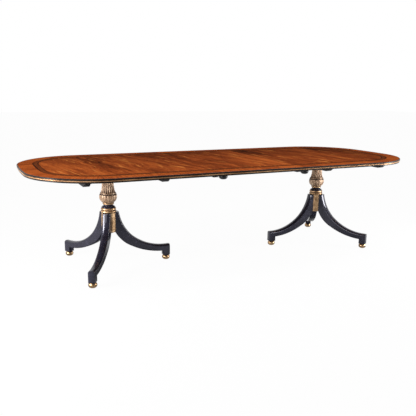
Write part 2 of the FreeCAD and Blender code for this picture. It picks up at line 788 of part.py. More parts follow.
def bowl_profile():
    foot = size("bowl_foot_radius")
    belly = size("bowl_belly_radius")
    shoulder = size("bowl_shoulder_radius")
    groove = size("bowl_groove_radius")
    foot_z = ring_top_z + rise("bowl_foot_height")
    belly_z = ring_top_z + rise("bowl_belly_height")
    shoulder_z = bowl_top_z - rise("bowl_groove_height")
    return [
        (bore, ring_top_z),
        (foot, ring_top_z),
        (foot, foot_z),
        (belly, belly_z, size("bowl_lower_curve"), 1),
        (shoulder, shoulder_z, size("bowl_shoulder_curve"), 1),
        (groove, shoulder_z),
        (groove, bowl_top_z),
        (bore, bowl_top_z),
    ]


def throat_profile():
    lip = size("throat_lip_radius")
    narrow = size("throat_radius")
    capital = size("capital_radius")
    lip_z = bowl_top_z + rise("throat_lip_height")
    narrow_z = bowl_top_z + rise("throat_height")
    capital_z = bearer_bottom_z - rise("capital_height")
    slab_z = bearer_bottom_z - rise("capital_slab")
    return [
        (bore, bowl_top_z),
        (lip, bowl_top_z),
        (lip, lip_z),
        (size("throat_foot_radius"), lip_z),
        (narrow, narrow_z, size("throat_curve"), -1),
        (narrow, capital_z),
        (capital, slab_z, size("capital_curve"), -1),
        (capital, bearer_bottom_z),
        (bore, bearer_bottom_z),
    ]


def lobe_path():
    """Line of a hollow between two lobes, from the shoulder of the bowl down to its foot."""
    stand = size("lobe_groove_radius") - size("lobe_groove_depth")
    belly_z = ring_top_z + rise("bowl_belly_height")
    curve = size("bowl_lower_curve")
    end_z = ring_top_z + rise("bowl_foot_height") + size("lobe_margin")
    drop = belly_z - end_z
    end_x = size("bowl_belly_radius") - curve + root((curve + stand) * (curve + stand) - drop * drop)
    return [
        (size("bowl_shoulder_radius") + stand, bowl_top_z - rise("bowl_groove_height")),
        (size("bowl_belly_radius") + stand, belly_z, size("bowl_shoulder_curve"), -1),
        (end_x, end_z, curve + stand, -1),
    ]


def flute_path():
    """Line of a flute, from the lip of the neck up to the capital."""
    stand = size("flute_radius") - size("flute_depth")
    narrow = size("throat_radius") + stand
    return [
        (size("throat_foot_radius") + stand, bowl_top_z + rise("throat_lip_height")),
        (narrow, bowl_top_z + rise("throat_height"), size("throat_curve"), -1),
        (narrow, bearer_bottom_z - rise("capital_height")),
    ]


def cylinder(name, radius, bottom_z, height, x):
    item = doc.addObject("Part::Cylinder", name)
    bind(item, "Radius", radius)
    bind(item, "Height", height)
    return place(item, 0, x, ZERO, bottom_z)


def hexagon(name, bottom_z, x):
    item = doc.addObject("Part::Prism", name)
    item.Polygon = 6
    bind(item, "Circumradius", size("nut_across") / 2)
    bind(item, "Height", size("nut_height"))
    return place(item, 0, x, ZERO, bottom_z)


def tie_rod(label, x):
    """Long bolt from under the hub plate to a nut in the top block."""
    head_z = hub_bottom_z - size("plate_thickness") - size("nut_height")
    nut_z = underside_z - size("block_counterbore")
    rod_top_z = nut_z + size("nut_height") + size("rod_end")
    bolt = doc.addObject("Part::Fuse", f"{label}_bolt")
    bolt.Base = hexagon(f"{label}_head", head_z, x)
    bolt.Tool = cylinder(f"{label}_shank", size("rod_radius"), head_z, rod_top_z - head_z, x)
    nut = doc.addObject("Part::Cut", f"{label}_nut")
    nut.Base = hexagon(f"{label}_nut_blank", nut_z, x)
    hole = size("rod_radius") + size("nut_clearance")
    nut.Tool = cylinder(f"{label}_nut_hole", hole, nut_z, size("nut_height"), x)
    return group(label, [bolt, nut])


def column(side, turn, sign):
    x = pedestal_x * sign
    profiles = (
        ("collar", collar_profile()),
        ("column_neck", neck_profile()),
        ("column_ring", ring_profile()),
    )
    turnings = [turned(f"{side}_{name}", corners, turn, x) for name, corners in profiles]
    bowl = turned(f"{side}_urn_bowl", bowl_profile(), turn, x)
    carve_round(bowl, lobe_path(), size("lobe_groove_radius"), LOBE_COUNT, f"{side}_lobe")
    neck = turned(f"{side}_urn_neck", throat_profile(), turn, x)
    carve_round(neck, flute_path(), size("flute_radius"), FLUTE_COUNT, f"{side}_flute")
    return [*turnings, bowl, neck, tie_rod(f"{side}_tie_rod", x)]


def lopers():
    """The two sliding bars fixed to the left half that carry the leaf and guide the right half."""
    half = size("loper_length") / 2
    lead = size("loper_lead")
    side = [
        (-half, loper_bottom_z),
        (half - lead, loper_bottom_z),
        (half, loper_bottom_z + lead),
        (half, loper_top_z),
        (-half, loper_top_z),
    ]
    width = size("loper_width")
    bars = [bar(f"loper_{name}", "XZ_Plane", side, width, 0, ZERO, loper_y * sign)
            for name, turn, sign in FRONT_AND_BACK]
    return group("lopers", bars)


def loper_keepers(side, sign):
    """Wooden keepers screwed under the top, which the lopers pass through."""
    outer = channel_half + size("keeper_wall")
    bottom_z = channel_z - size("keeper_wall")
    section = [
        (-outer, bottom_z),
        (outer, bottom_z),
        (outer, underside_z),
        (channel_half, underside_z),
        (channel_half, channel_z),
        (-channel_half, channel_z),
        (-channel_half, underside_z),
        (-outer, underside_z),
    ]
    length = size("keeper_length")
    x = (joint_x + size("keeper_setback") + length / 2) * sign
    blocks = [bar(f"{side}_keeper_{name}", "YZ_Plane", section, length, 0, x, loper_y * part)
              for name, turn, part in FRONT_AND_BACK]
    return group(f"{side}_loper_keepers", blocks)


def leaf_lock(label, turn, x, y):
    """Turning lock: a bar that swings across the joint, with a domed knob under it."""
    body = new_body(label, turn, x, y)
    radius = size("lock_knob_radius")
    knob_z = bar_bottom_z - size("lock_knob_height")
    tip = size("lock_knob_tip")
    side_z = bar_bottom_z - size("lock_knob_side")
    knob = [
        (ZERO, knob_z),
        (tip, knob_z),
        (radius, side_z, size("lock_knob_curve"), 1),
        (radius, bar_bottom_z),
        (ZERO, bar_bottom_z),
    ]
    revolve(body, knob, f"{label}_knob")
    half = size("lock_bar_width") / 2
    crown = half / 2
    end = bulge(crown, size("lock_bar_width"), ZERO)
    outline = [
        (-half, -half),
        (half, -half, end, 1),
        (half, size("lock_bar_reach") - crown),
        (-half, size("lock_bar_reach") - crown, end, 1),
    ]
    plan = draw(body, "XY_Plane", outline, f"{label}_bar_outline", bar_bottom_z)
    pad(body, plan, size("lock_bar_thickness"), f"{label}_bar")
    return body


def catches(label, edge_x):
    """Catches that the bars of the locks swing into, on the member to the left of a joint."""
    plate = size("catch_plate")
    lip_top_z = bar_bottom_z - size("lock_clearance")
    lip_x = -size("catch_setback")
    back_x = lip_x - size("catch_length")
    heel_x = back_x + size("catch_foot")
    section = [
        (back_x, lip_top_z - plate),
        (lip_x, lip_top_z - plate),
        (lip_x, lip_top_z),
        (back_x + plate, lip_top_z),
        (back_x + plate, underside_z - plate),
        (heel_x, underside_z - plate),
        (heel_x, underside_z),
        (back_x, underside_z),
    ]
    width = size("catch_width")
    pair = [bar(f"{label}_{name}", "XZ_Plane", section, width, 0, edge_x, lock_y * sign)
            for name, turn, sign in FRONT_AND_BACK]
    return group(label, pair)


def locks():
    """Each joint has its locks on the member to its right."""
    found = []
    for side, turn, sign in SIDES:
        x = joint_x * sign + size("lock_setback")
        for name, swing, part in FRONT_AND_BACK:
            found.append(leaf_lock(f"{side}_lock_{name}", swing, x, lock_y * part))
    return found


for side, turn, sign in SIDES:
    pieces += end_top(side, turn)
    pieces += under_frame(side, turn, sign)
    pieces += tripod(side, turn, sign)
    pieces += column(side, turn, sign)
    pieces.append(loper_keepers(side, sign))
pieces += leaf_top()
pieces.append(lopers())
pieces += locks()
pieces.append(catches("left_catches", -joint_x))
pieces.append(catches("leaf_catches", joint_x))

doc.recompute()
for item in doc.Objects:
    if "Invalid" in item.State or "Error" in item.State:
        raise RuntimeError(f"{item.Label} did not build: {item.State}")
for item in pieces:
    if item.Shape.isNull() or not item.Shape.isValid():
        raise RuntimeError(f"{item.Label} has no valid shape")

os.makedirs("parts", exist_ok=True)
for item in pieces:
    item.Shape.exportStep(f"parts/{item.Label}.step")
print(len(pieces), "pieces written")
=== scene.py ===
"""Looks of a double pedestal dining table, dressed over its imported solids."""

import math

import bpy
from mathutils import Matrix, Vector


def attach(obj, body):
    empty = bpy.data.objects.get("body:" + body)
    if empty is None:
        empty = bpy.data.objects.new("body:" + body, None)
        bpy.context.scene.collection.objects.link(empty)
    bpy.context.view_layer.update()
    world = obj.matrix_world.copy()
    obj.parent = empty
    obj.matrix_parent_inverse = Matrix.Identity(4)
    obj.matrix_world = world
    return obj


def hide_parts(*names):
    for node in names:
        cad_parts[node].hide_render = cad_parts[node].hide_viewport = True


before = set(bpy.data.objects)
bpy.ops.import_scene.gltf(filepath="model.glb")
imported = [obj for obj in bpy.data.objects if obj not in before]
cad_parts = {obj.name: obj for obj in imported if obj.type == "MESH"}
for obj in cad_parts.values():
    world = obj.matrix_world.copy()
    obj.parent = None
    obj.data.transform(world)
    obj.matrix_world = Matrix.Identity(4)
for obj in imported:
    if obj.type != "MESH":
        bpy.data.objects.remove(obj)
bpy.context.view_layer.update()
scene = bpy.context.scene
scene.view_settings.view_transform = "Standard"

HEADINGS = {"left": -1, "right": 1}

# Sizes of the top that the veneers follow, in metres
HALF_LENGTH = 1.524
HALF_WIDTH = 0.635
END_RADIUS = 4.0
CORNER_RADIUS = 0.480
CORNER_Y = HALF_WIDTH - CORNER_RADIUS
CORNER_X = HALF_LENGTH - END_RADIUS + math.sqrt((END_RADIUS - CORNER_RADIUS) ** 2 - CORNER_Y**2)
JOINT_X = 0.330
INLAY_OUTER = 0.105
INLAY_INNER = 0.147
BEAD_BOTTOM = 0.7446
BEAD_TOP = 0.7521

# Sizes of the pedestals, in metres
PEDESTAL_X = 0.927
LEG_WIDTH = 0.052
LEG_TOP = 0.410
LEG_CROWN = 0.55
LEG_ANGLE = 2 * math.pi / 3
HUB_TOP = 0.4125

# How far sideways a leg's surface faces where its crown starts and where it is full
CROWN_START = 0.95
CROWN_FULL = 0.85

# Angles from the middle of a hub's panel where its painted shade starts and where it is full
CORNER_SHADE_START = 0.30
CORNER_SHADE_FULL = 0.47


def tint(red, green, blue):
    """A colour from 0 to 255 as the renderer's linear colour."""
    linear = []
    for value in (red, green, blue):
        share = value / 255
        linear.append(share / 12.92 if share <= 0.04045 else ((share + 0.055) / 1.055) ** 2.4)
    return (*linear, 1.0)


class Net:
    """Builds the node tree of a material."""

    def __init__(self, tree):
        self.tree = tree

    def feed(self, socket, value):
        if isinstance(value, bpy.types.NodeSocket):
            self.tree.links.new(value, socket)
        else:
            socket.default_value = value

    def add(self, kind, inputs, **settings):
        node = self.tree.nodes.new("ShaderNode" + kind)
        for name, value in settings.items():
            setattr(node, name, value)
        for name, value in inputs.items():
            self.feed(node.inputs[name], value)
        return node

    def math(self, operation, first, second=0.0):
        return self.add("Math", {0: first, 1: second}, operation=operation).outputs[0]

    def mix(self, factor, first, second, blend="MIX"):
        inputs = {0: factor, 6: first, 7: second}
        return self.add("Mix", inputs, data_type="RGBA", blend_type=blend).outputs[2]

    def stretch(self, value, start, end, low, high):
        """A number from low to high as the value goes from start to end."""
        inputs = {"Value": value, "From Min": start, "From Max": end, "To Min": low, "To Max": high}
        return self.add("MapRange", inputs).outputs[0]

    def between(self, factor, low, high):
        return self.stretch(factor, 0.0, 1.0, low, high)

    def place(self):
        """The point on the piece, in the frame of the table."""
        return self.add("TexCoord", {}).outputs["Object"]

    def axes(self, vector):
        return self.add("SeparateXYZ", {0: vector}).outputs

    def vector(self, x, y, z):
        return self.add("CombineXYZ", {0: x, 1: y, 2: z}).outputs[0]

    def vector_math(self, operation, inputs):
        return self.add("VectorMath", inputs, operation=operation).outputs

    def length(self, x, y):
        return self.vector_math("LENGTH", {0: self.vector(x, y, 0.0)})["Value"]

    def strip(self, along, across, fine, coarse, seed):
        """A point in a strip of veneer, stretched so that noise there runs as grain."""
        return self.vector(self.math("MULTIPLY", along, fine), self.math("MULTIPLY", across, coarse), seed)

    def scaled(self, vector, scale, turn=0.0, shift=(0.0, 0.0, 0.0)):
        inputs = {"Vector": vector, "Scale": scale, "Rotation": (0.0, 0.0, turn), "Location": shift}
        return self.add("Mapping", inputs).outputs[0]

    def noise(self, vector, scale, detail=3.0, roughness=0.5, distortion=0.0):
        inputs = {
            "Vector": vector,
            "Scale": scale,
            "Detail": detail,
            "Roughness": roughness,
            "Distortion": distortion,
        }
        return self.add("TexNoise", inputs).outputs[0]

    def ramp(self, factor, stops):
        node = self.add("ValToRGB", {0: factor})
        elements = node.color_ramp.elements
        elements.remove(elements[1])
        elements[0].position, elements[0].color = stops[0]
        for position, colour in stops[1:]:
            elements.new(position).color = colour
        return node.outputs[0]

    def bump(self, height, strength, distance):
        inputs = {"Height": height, "Strength": strength, "Distance": distance}
        return self.add("Bump", inputs).outputs[0]


def finish_material(name, build, constants):
    """A material whose build function links the sockets that vary over the surface."""
    material = bpy.data.materials.new(name)
    material.use_nodes = True
    net = Net(material.node_tree)
    shader = material.node_tree.nodes["Principled BSDF"]
    for key, value in constants.items():
        shader.inputs[key].default_value = value
    for key, value in build(net).items():
        net.feed(shader.inputs[key], value)
    return material


def grey(value):
    return (value, value, value, 1.0)


# Veneers of the top
DARK_MAHOGANY = tint(66, 28, 12)
MID_MAHOGANY = tint(134, 61, 26)
LIGHT_MAHOGANY = tint(182, 92, 40)
# Colour of the painted glints in the field
GLINT_MAHOGANY = tint(212, 128, 60)
GRAIN_LEAN = 0.17
SEAM = 0.0012
SHEET_SHIFT = 3.7
CROSSBAND_LENGTH = 0.165

# Sheets of the field from left to right: where each starts, and its tone at its left and its right
SHEETS = (
    (-HALF_LENGTH, 0.52, 0.60),
    (-1.050, 0.40, 0.42),
    (-0.865, 0.52, 0.46),
    (-JOINT_X, 0.34, 0.62),
    (JOINT_X, 0.30, 0.58),
    (1.000, 0.40, 0.22),
)


def border_place(net, x, y):
    """How far a point of the top lies inside its outer edge, and how far along that edge."""
    far_x = net.math("ABSOLUTE", x)
    far_y = net.math("ABSOLUTE", y)
    over_x = net.math("MAXIMUM", net.math("SUBTRACT", far_x, CORNER_X), 0.0)
    over_y = net.math("MAXIMUM", net.math("SUBTRACT", far_y, CORNER_Y), 0.0)
    distance = net.math("SUBTRACT", CORNER_RADIUS, net.length(over_x, over_y))
    side = net.math("MINIMUM", far_x, CORNER_X)
    bend = net.math("MULTIPLY", net.math("ARCTAN2", over_x, over_y), CORNER_RADIUS)
    end = net.math("SUBTRACT", CORNER_Y, net.math("MINIMUM", far_y, CORNER_Y))
    along = net.math("ADD", net.math("ADD", side, bend), end)
    return distance, along


def field_veneer(net):
    """Slip-matched flame mahogany laid across the table, toned by sheet, with painted shade darker towards
    the back.
    """
    place = net.place()
    x, y, _ = net.axes(place)
    span = 2 * HALF_LENGTH
    ends = [sheet[0] for sheet in SHEETS[1:]] + [HALF_LENGTH]
    stops = []
    for (start, low, high), end in zip(SHEETS, ends):
        stops.append(((start + HALF_LENGTH) / span + SEAM, grey(low)))
        stops.append(((end + HALF_LENGTH) / span - SEAM, grey(high)))
    tone = net.ramp(net.stretch(x, -HALF_LENGTH, HALF_LENGTH, 0.0, 1.0), stops)
    number = net.math("FLOOR", net.math("DIVIDE", net.math("ADD", x, JOINT_X), 2 * JOINT_X))
    sway = net.noise(net.scaled(place, (1.5, 1.0, 1.0)), 2.0, 2.0, 0.5)
    bend = net.math("MULTIPLY", net.math("SUBTRACT", sway, 0.5), 0.20)
    lean = net.math("MULTIPLY", y, GRAIN_LEAN)
    flow_x = net.math("ADD", net.math("ADD", x, lean), bend)
    flow = net.vector(flow_x, y, net.math("MULTIPLY", number, SHEET_SHIFT))
    flame = net.noise(net.scaled(flow, (12.0, 1.9, 1.0)), 1.0, 4.0, 0.60, 0.5)
    streak = net.noise(net.scaled(flow, (50.0, 3.4, 1.0), 0.04), 1.0, 3.0, 0.6, 0.3)
    sliver = net.noise(net.scaled(flow, (40.0, 4.0, 1.0), -0.10, (3.1, 1.7, 0.0)), 1.0, 2.0, 0.5, 0.5)
    pore = net.noise(net.scaled(flow, (420.0, 22.0, 1.0)), 1.0, 2.0, 0.6)
    feather = net.noise(net.scaled(flow, (64.0, 13.0, 1.0), -0.5, (5.3, 2.9, 0.0)), 1.0, 3.0, 0.6, 0.4)
    broad = net.math("ADD", net.math("MULTIPLY", flame, 0.48), net.math("MULTIPLY", streak, 0.30))
    figure = net.math("ADD", broad, net.math("MULTIPLY", feather, 0.22))
    # Painted shade: the field is darkened towards the back edge.
    back_shade = net.stretch(y, 0.0, 0.5, 0.0, 0.065)
    shade = net.math("SUBTRACT", net.math("MULTIPLY", net.math("SUBTRACT", tone, 0.46), 0.45), back_shade)
    value = net.math("ADD", figure, shade)
    colour = net.ramp(value, ((0.32, DARK_MAHOGANY), (0.49, MID_MAHOGANY), (0.64, LIGHT_MAHOGANY)))
    # Painted highlight: short bright streaks mixed into the figure as glints.
    glint = net.ramp(sliver, ((0.60, grey(0.0)), (0.72, grey(0.75))))
    lit = net.mix(glint, colour, GLINT_MAHOGANY)
    pores = net.ramp(pore, ((0.30, grey(0.55)), (0.46, grey(1.0))))
    return {
        "Base Color": net.mix(0.75, lit, pores, "MULTIPLY"),
        "Roughness": net.between(streak, 0.24, 0.40),
        "Normal": net.bump(pore, 0.05, 0.0004),
    }


def crossband_veneer(net):
    """Straight-grained mahogany laid square to the edge, in short lengths."""
    x, y, _ = net.axes(net.place())
    distance, along = border_place(net, x, y)
    side = net.math("SIGN", y)
    end = net.math("SIGN", x)
    number = net.math("FLOOR", net.math("DIVIDE", along, CROSSBAND_LENGTH))
    seed = net.vector(number, side, end)
    tone = net.add("TexWhiteNoise", {"Vector": seed}, noise_dimensions="3D").outputs[0]
    grain = net.noise(net.strip(along, distance, 120.0, 9.0, tone), 1.0, 4.0, 0.6, 0.3)
    pore = net.noise(net.strip(along, distance, 520.0, 30.0, 0.0), 1.0, 2.0, 0.6)
    value = net.math("ADD", grain, net.math("MULTIPLY", net.math("SUBTRACT", tone, 0.5), 0.16))
    mahogany = ((0.28, tint(107, 47, 20)), (0.50, tint(157, 74, 30)), (0.74, tint(195, 103, 46)))
    colour = net.ramp(value, mahogany)
    pores = net.ramp(pore, ((0.30, grey(0.66)), (0.46, grey(1.0))))
    return {
        "Base Color": net.mix(0.7, colour, pores, "MULTIPLY"),
        "Roughness": net.between(grain, 0.22, 0.36),
        "Normal": net.bump(pore, 0.05, 0.0004),
    }


def inlay_veneer(net):
    """A brown banding between two dark strings."""
    x, y, z = net.axes(net.place())
    distance, along = border_place(net, x, y)
    place = net.math("DIVIDE", net.math("SUBTRACT", distance, INLAY_OUTER), INLAY_INNER - INLAY_OUTER)
    grain = net.noise(net.strip(along, distance, 150.0, 30.0, z), 1.0, 4.0, 0.6, 0.6)
    brown = ((0.30, tint(70, 34, 17)), (0.52, tint(108, 53, 26)), (0.75, tint(142, 74, 36)))
    banding = net.ramp(grain, brown)
    dark = tint(50, 25, 14)
    strings = net.ramp(place, (
        (0.0, grey(1.0)),
        (0.165, grey(1.0)),
        (0.195, grey(0.0)),
        (0.805, grey(0.0)),
        (0.835, grey(1.0)),
        (1.0, grey(1.0)),
    ))
    return {
        "Base Color": net.mix(strings, banding, dark),
        "Roughness": net.between(grain, 0.24, 0.36),
    }


# Finishes of the edge and the pedestals
def lacquer_colour(net, place):
    cloud = net.noise(place, 14.0, 4.0, 0.6)
    return net.ramp(cloud, ((0.30, tint(22, 21, 30)), (0.55, tint(32, 31, 43)), (0.75, tint(43, 42, 56))))


def crowned_normal(net, x, y, z, bumped):
    """Rounds the broad faces of the legs across their width, so that they catch light as a soft streak."""
    outward = net.math("SIGN", x)
    ahead = net.math("SUBTRACT", PEDESTAL_X, net.math("MULTIPLY", x, outward))
    angle = net.math("ARCTAN2", y, ahead)
    number = net.math("ROUND", net.math("DIVIDE", angle, LEG_ANGLE))
    heading = net.math("MULTIPLY", number, LEG_ANGLE)
    cosine = net.math("COSINE", heading)
    sine = net.math("SINE", heading)
    across = net.math("SUBTRACT", net.math("MULTIPLY", y, cosine), net.math("MULTIPLY", ahead, sine))
    tilt = net.math("MULTIPLY", across, 2 * LEG_CROWN / LEG_WIDTH)
    side = net.vector(net.math("MULTIPLY", sine, outward), cosine, 0.0)
    sideways = net.vector_math("DOT_PRODUCT", {0: bumped, 1: side})["Value"]
    level = net.vector_math("SCALE", {0: side, "Scale": sideways})[0]
    upright = net.vector_math("SUBTRACT", {0: bumped, 1: level})[0]
    straight = net.vector_math("NORMALIZE", {0: upright})[0]
    lean = net.vector_math("SCALE", {0: side, "Scale": tilt})[0]
    crowned = net.vector_math("ADD", {0: straight, 1: lean})[0]
    broad = net.stretch(net.math("ABSOLUTE", sideways), CROWN_START, CROWN_FULL, 0.0, 1.0)
    share = net.math("MULTIPLY", broad, net.math("LESS_THAN", z, LEG_TOP))
    blend = net.add("Mix", {0: share, 4: bumped, 5: crowned}, data_type="VECTOR").outputs[1]
    return net.vector_math("NORMALIZE", {0: blend})[0]


def black_lacquer(net):
    place = net.place()
    x, y, z = net.axes(place)
    grain = net.noise(net.scaled(place, (60.0, 60.0, 26.0)), 3.0, 4.0, 0.6)
    normal = crowned_normal(net, x, y, z, net.bump(grain, 0.02, 0.0006))
    return {
        "Base Color": lacquer_colour(net, place),
        "Roughness": net.between(grain, 0.12, 0.20),
        "Normal": normal,
        "Coat Normal": normal,
    }


def gilt_colour(net, place, low, middle, high):
    rub = net.noise(place, 34.0, 4.0, 0.6, 0.3)
    return net.ramp(rub, ((0.30, low), (0.50, middle), (0.72, high)))


def seam_shade(net, z):
    """Painted shade, as dark glazing, in the quirks between the turned members of a column, by height."""
    bottom, top = 0.40, 0.70
    bands = ((0.4130, 0.0022), (0.4305, 0.0030), (0.4480, 0.0024), (0.4720, 0.0020), (0.4840, 0.0022))
    stops = [(0.0, grey(0.0))]
    for height, half in bands:
        for offset, level in ((-half, 0.0), (-half / 3, 1.0), (half / 3, 1.0), (half, 0.0)):
            stops.append(((height + offset - bottom) / (top - bottom), grey(level)))
    return net.ramp(net.stretch(z, bottom, top, 0.0, 1.0), stops)


def hub_corner_shade(net, x, y):
    """Painted shade on the hub where it runs behind the legs, by the angle round its axis."""
    ahead = net.math("SUBTRACT", PEDESTAL_X, net.math("ABSOLUTE", x))
    beside = net.math("ABSOLUTE", y)
    angle = net.math("ARCTAN2", beside, ahead)
    turned = net.math("MODULO", angle, LEG_ANGLE)
    folded = net.math("ABSOLUTE", net.math("SUBTRACT", turned, LEG_ANGLE / 2))
    return net.stretch(folded, CORNER_SHADE_START, CORNER_SHADE_FULL, 0.0, 1.0)


def antique_gilt(net):
    """Rubbed gold with painted shade, as dark glazing, in the quirks and on the hub behind the legs."""
    place = net.place()
    x, y, z = net.axes(place)
    rub = net.noise(net.scaled(place, (1.0, 1.0, 0.35)), 70.0, 4.0, 0.6)
    gilt = gilt_colour(net, place, tint(120, 90, 64), tint(184, 147, 108), tint(224, 191, 150))
    hub = net.math("LESS_THAN", z, HUB_TOP)
    # Painted shade: the quirks and the hub behind the legs are darkened, broken up by the rubbing.
    hub_shade = net.math("MULTIPLY", hub_corner_shade(net, x, y), hub)
    shade_and_glaze = net.math("MAXIMUM", seam_shade(net, z), hub_shade)
    patchy_shade = net.math("MULTIPLY", shade_and_glaze, net.between(rub, 0.55, 1.0))
    return {
        "Base Color": net.mix(patchy_shade, gilt, tint(44, 28, 20)),
        "Roughness": net.between(rub, 0.24, 0.42),
        "Metallic": net.between(patchy_shade, 0.75, 0.2),
        "Normal": net.bump(rub, 0.05, 0.0006),
    }


def carved_gilt(net):
    """Rubbed pale gilding with brown glazing and painted shade in the hollows of the carving."""
    place = net.place()
    hollow = net.add("Attribute", {}, attribute_name="hollow").outputs["Fac"]
    rub = net.noise(net.scaled(place, (1.0, 1.0, 0.35)), 120.0, 5.0, 0.65)
    gilt = gilt_colour(net, place, tint(123, 95, 73), tint(161, 131, 105), tint(196, 170, 143))
    # Painted shade and glazing: the hollows of the carving are darkened to brown.
    shade_and_glaze = net.math("ADD", hollow, net.math("MULTIPLY", net.math("SUBTRACT", rub, 0.5), 0.7))
    hollow_shade_and_glaze = net.ramp(shade_and_glaze, ((0.33, grey(0.0)), (0.74, grey(1.0))))
    return {
        "Base Color": net.mix(hollow_shade_and_glaze, gilt, tint(58, 40, 32)),
        "Roughness": net.between(hollow_shade_and_glaze, 0.38, 0.68),
        "Normal": net.bump(rub, 0.10, 0.0008),
    }


def edge_finish(net):
    """Black moulding with its bead picked out in gilt."""
    place = net.place()
    _, _, z = net.axes(place)
    above = net.math("GREATER_THAN", z, BEAD_BOTTOM)
    below = net.math("LESS_THAN", z, BEAD_TOP)
    bead = net.math("MULTIPLY", above, below)
    rub = net.noise(place, 9.0, 3.0, 0.55)
    gold = ((0.32, tint(132, 94, 64)), (0.52, tint(172, 132, 96)), (0.70, tint(198, 160, 120)))
    gilt = net.ramp(rub, gold)
    black = net.ramp(rub, ((0.32, tint(22, 17, 15)), (0.70, tint(36, 28, 25))))
    return {
        "Base Color": net.mix(bead, black, gilt),
        "Metallic": net.math("MULTIPLY", bead, 0.55),
        "Roughness": net.between(net.noise(place, 60.0), 0.26, 0.40),
    }


def bright_brass(net):
    place = net.place()
    rub = net.noise(place, 120.0, 4.0, 0.6)
    yellow = ((0.30, tint(140, 108, 76)), (0.52, tint(190, 155, 116)), (0.74, tint(222, 194, 156)))
    return {
        "Base Color": net.ramp(rub, yellow),
        "Roughness": net.between(rub, 0.14, 0.30),
    }


def plain_wood(dark, light):
    """Straight-grained wood for what lies under the top."""

    def build(net):
        place = net.place()
        grain = net.noise(net.scaled(place, (3.0, 40.0, 60.0)), 1.6, 4.0, 0.6, 0.5)
        return {
            "Base Color": net.ramp(grain, ((0.30, dark), (0.72, light))),
            "Roughness": net.between(grain, 0.44, 0.62),
            "Normal": net.bump(grain, 0.10, 0.0010),
        }

    return build


def worn_metal(dark, light):
    def build(net):
        place = net.place()
        rub = net.noise(place, 130.0, 4.0, 0.6)
        return {
            "Base Color": net.ramp(rub, ((0.32, dark), (0.70, light))),
            "Roughness": net.between(rub, 0.28, 0.50),
            "Normal": net.bump(rub, 0.06, 0.0005),
        }

    return build


TOP_POLISH = {"Specular IOR Level": 0.0, "Coat Weight": 0.008, "Coat Roughness": 0.10}
LEG_POLISH = {
    "Specular IOR Level": 0.45,
    "Specular Tint": tint(240, 239, 255),
    "Coat Weight": 0.20,
    "Coat Roughness": 0.06,
}
FINISHES = (
    ("mahogany_field", field_veneer, TOP_POLISH),
    ("mahogany_crossband", crossband_veneer, TOP_POLISH),
    ("dark_inlay", inlay_veneer, TOP_POLISH),
    ("core_wood", plain_wood(tint(96, 62, 38), tint(140, 98, 62)), {}),
    ("under_wood", plain_wood(tint(14, 13, 15), tint(26, 24, 27)), {"Specular IOR Level": 0.2}),
    ("black_gilt_edge", edge_finish, {"Specular IOR Level": 0.10}),
    ("black_lacquer", black_lacquer, LEG_POLISH),
    ("antique_gilt", antique_gilt, {}),
    ("carved_gilt", carved_gilt, {"Metallic": 0.35}),
    ("brass", bright_brass, {"Metallic": 1.0}),
    ("iron", worn_metal(tint(52, 50, 50), tint(92, 90, 88)), {"Metallic": 0.9}),
    ("steel", worn_metal(tint(120, 120, 122), tint(168, 168, 170)), {"Metallic": 1.0}),
    ("black_metal", worn_metal(tint(24, 24, 26), tint(44, 44, 48)), {"Metallic": 0.4}),
)
finishes = {name: finish_material(name, build, constants) for name, build, constants in FINISHES}

# Carved urns
LOBES = 16
FLUTES = 20
LOBE_STEPS = 22
FLUTE_STEPS = 24
BORE_RADIUS = 0.009
SHARP_ANGLE = math.radians(50)

# Outline of the urns, as heights or as pairs of radius and height
BOWL_BASE = 0.4840
BOWL_BULGE = (0.0630, 0.5230)
BOWL_SHOULDER = (0.0610, 0.5465)
BOWL_TOP = 0.5515
NECK_BASE = (0.0525, 0.5580)
NECK_WAIST = (0.0425, 0.6135)
NECK_THROAT = (0.0425, 0.6430)
NECK_HEAD = (0.0580, 0.6830)
NECK_TOP = 0.6930
NECK_STEPS = 5

# Carving of the bowl, with the heights between which each cut grows or fades
LOBE_SHARE = 0.97
LOBE_DEPTH = 0.0036
LOBE_RISE = (0.4885, 0.498)
SCALLOP_DROP = 0.0035
SCALLOP_RISE = (0.534, 0.5465)
BOWL_RIM = (0.5466, 0.5470)
GROOVE_RISE = (0.5430, 0.5455)
FOOT_FALL = (0.4865, 0.4895)

# Carving of the neck
FLUTE_SHARE = 0.84
FLUTE_DEPTH = 0.0034
FLUTE_BOTTOM = 0.5590
FLUTE_TOP = 0.6560
FLUTE_FOOT = 0.010
FLUTE_HEAD = 0.012
QUIRK_HALF = 0.0012
# Heights over which the painted shade in the flutes lightens upwards
SHADE_FALL = (0.560, 0.600)


def smooth_step(low, high, value):
    share = min(max((value - low) / (high - low), 0.0), 1.0)
    return share * share * (3 - 2 * share)


def cell_place(angle, count):
    """Where an angle lies in its lobe or flute: 0 at the middle, 1 at the edge."""
    turn = angle * count / (2 * math.pi)
    return abs(2 * (turn - math.floor(turn)) - 1)


def arc_points(start, end, radius, turn, steps):
    """Points of an arc between two points of radius and height, without its first."""
    (x0, z0), (x1, z1) = start, end
    half = math.hypot(x1 - x0, z1 - z0) / 2
    back = math.sqrt(radius * radius - half * half) * turn
    across = (-(z1 - z0) / (2 * half), (x1 - x0) / (2 * half))
    centre = ((x0 + x1) / 2 + across[0] * back, (z0 + z1) / 2 + across[1] * back)
    first = math.atan2(z0 - centre[1], x0 - centre[0])
    sweep = 2 * math.asin(half / radius) * turn
    angles = [first + sweep * step / steps for step in range(1, steps + 1)]
    return [(centre[0] + radius * math.cos(a), centre[1] + radius * math.sin(a)) for a in angles]


